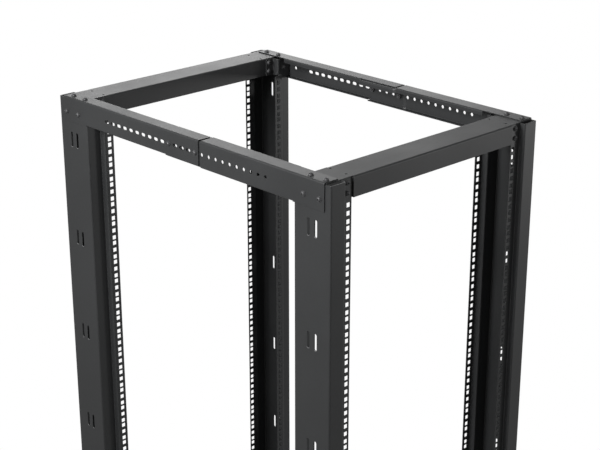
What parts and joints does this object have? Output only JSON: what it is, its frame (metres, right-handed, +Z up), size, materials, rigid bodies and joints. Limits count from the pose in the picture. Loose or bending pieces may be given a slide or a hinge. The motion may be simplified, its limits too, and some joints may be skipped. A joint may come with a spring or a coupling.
{
  "type": "four post open frame rack",
  "caption": "Open frame of four folded steel posts with perforated rails, joined top and bottom by channel beams and two-part side beams.",
  "frame": {"origin": "on the floor, midway between the four posts, under the levelling feet", "axes": "+X right when facing the front, +Y towards the back, +Z up"},
  "size_m": [0.592, 0.814, 1.9888],
  "materials": {
    "powder_coat": "fine textured satin black powder coat",
    "foot_metal": "black zinc-plated steel"
  },
  "bodies": {
    "root": {"back_bottom_beam": "powder_coat", "back_top_beam": "powder_coat", "corner_bracket_bottom_back_left": "powder_coat", "corner_bracket_bottom_back_right": "powder_coat", "corner_bracket_bottom_front_left": "powder_coat", "corner_bracket_bottom_front_right": "powder_coat", "corner_bracket_top_back_left": "powder_coat", "corner_bracket_top_back_right": "powder_coat", "corner_bracket_top_front_left": "powder_coat", "corner_bracket_top_front_right": "powder_coat", "front_bottom_beam": "powder_coat", "front_top_beam": "powder_coat", "left_bottom_beam_front_half": "powder_coat", "left_bottom_beam_rear_half": "powder_coat", "left_top_beam_front_half": "powder_coat", "left_top_beam_rear_half": "powder_coat", "levelling_foot_back_left": "foot_metal", "levelling_foot_back_right": "foot_metal", "levelling_foot_front_left": "foot_metal", "levelling_foot_front_right": "foot_metal", "post_back_left": "powder_coat", "post_back_right": "powder_coat", "post_front_left": "powder_coat", "post_front_right": "powder_coat", "right_bottom_beam_front_half": "powder_coat", "right_bottom_beam_rear_half": "powder_coat", "right_top_beam_front_half": "powder_coat", "right_top_beam_rear_half": "powder_coat"}
  },
  "joints": []
}
